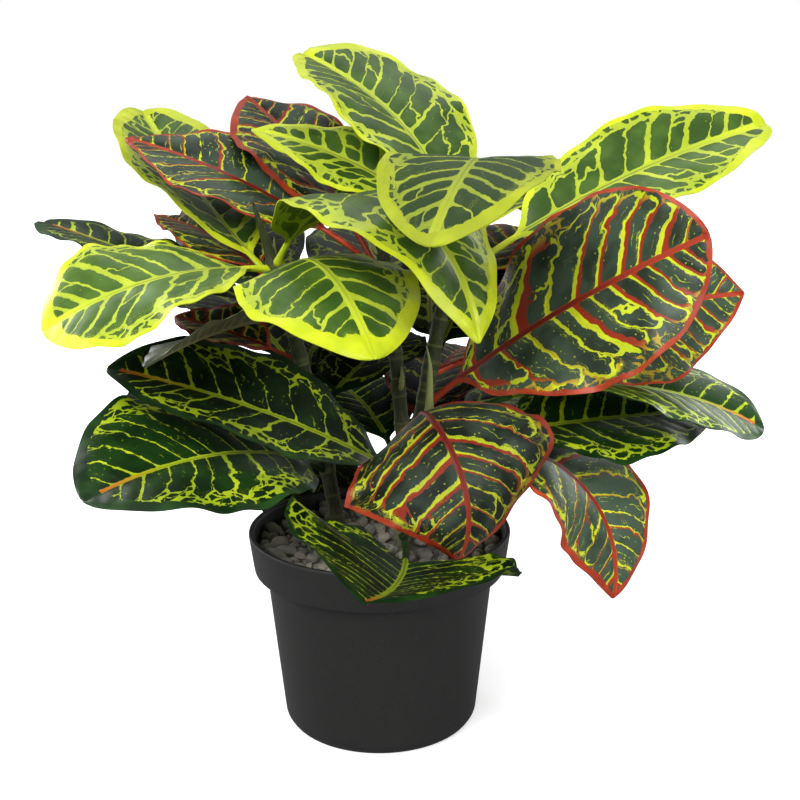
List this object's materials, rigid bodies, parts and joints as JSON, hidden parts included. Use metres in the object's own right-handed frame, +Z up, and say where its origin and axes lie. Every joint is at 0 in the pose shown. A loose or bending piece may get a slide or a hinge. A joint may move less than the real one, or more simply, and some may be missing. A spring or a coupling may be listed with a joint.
{
  "type": "potted plant",
  "caption": "Bushy croton with broad veined leaves in yellow, red and dark green on upright stems, in a round black nursery pot topped with gravel.",
  "frame": {"origin": "middle of the pot's flat underside", "axes": "+Z up, the front that the picture shows faces -Y, +X is to the right seen from the front"},
  "size_m": [0.3467, 0.3295, 0.3104],
  "materials": {
    "pot": "matte",
    "soil": "matte",
    "gravel": "matte",
    "stem": "matte",
    "leaf_yellow": "satin",
    "leaf_red": "satin",
    "leaf_dark": "satin"
  },
  "bodies": {
    "root": {"pot": "pot", "soil": "soil", "gravel": "gravel", "stem_left": "stem", "stem_right": "stem", "stem_back": "stem", "leaf_top_yellow": "leaf_yellow", "leaf_top_red_back": "leaf_red", "leaf_upper_left_yellow": "leaf_yellow", "leaf_left_shade": "leaf_dark", "leaf_upper_left_red": "leaf_red", "leaf_mid_top_yellow": "leaf_yellow", "leaf_centre_arch": "leaf_yellow", "leaf_centre_front": "leaf_yellow", "leaf_top_right": "leaf_yellow", "leaf_big_red": "leaf_red", "leaf_right_back_green": "leaf_red", "leaf_right_droop": "leaf_dark", "leaf_lower_right_dark": "leaf_dark", "leaf_lower_right_red": "leaf_red", "leaf_front_red": "leaf_red", "leaf_front_green": "leaf_dark", "leaf_lower_left_1": "leaf_dark", "leaf_lower_left_2": "leaf_dark", "leaf_left_back_dark": "leaf_dark", "leaf_left_red_small": "leaf_red", "leaf_left_thin": "leaf_dark", "leaf_front_left_hang": "leaf_yellow", "leaf_left_yellow": "leaf_yellow", "leaf_left_mid_red": "leaf_red", "leaf_centre_back": "leaf_dark", "leaf_olive_back": "leaf_dark", "leaf_back_right_high": "leaf_yellow", "leaf_back_high": "leaf_yellow", "leaf_back_mid_right": "leaf_red", "leaf_back_mid": "leaf_dark", "leaf_back_mid_left": "leaf_dark", "leaf_back_low_right": "leaf_dark", "leaf_back_low": "leaf_red", "leaf_back_low_left": "leaf_dark", "leaf_back_low_far": "leaf_dark", "leaf_centre_dark": "leaf_dark", "leaf_inner_right": "leaf_dark", "leaf_inner_low_left": "leaf_dark", "leaf_inner_back_long": "leaf_dark", "leaf_inner_left": "leaf_dark", "leaf_inner_back_low": "leaf_dark"}
  },
  "joints": []
}
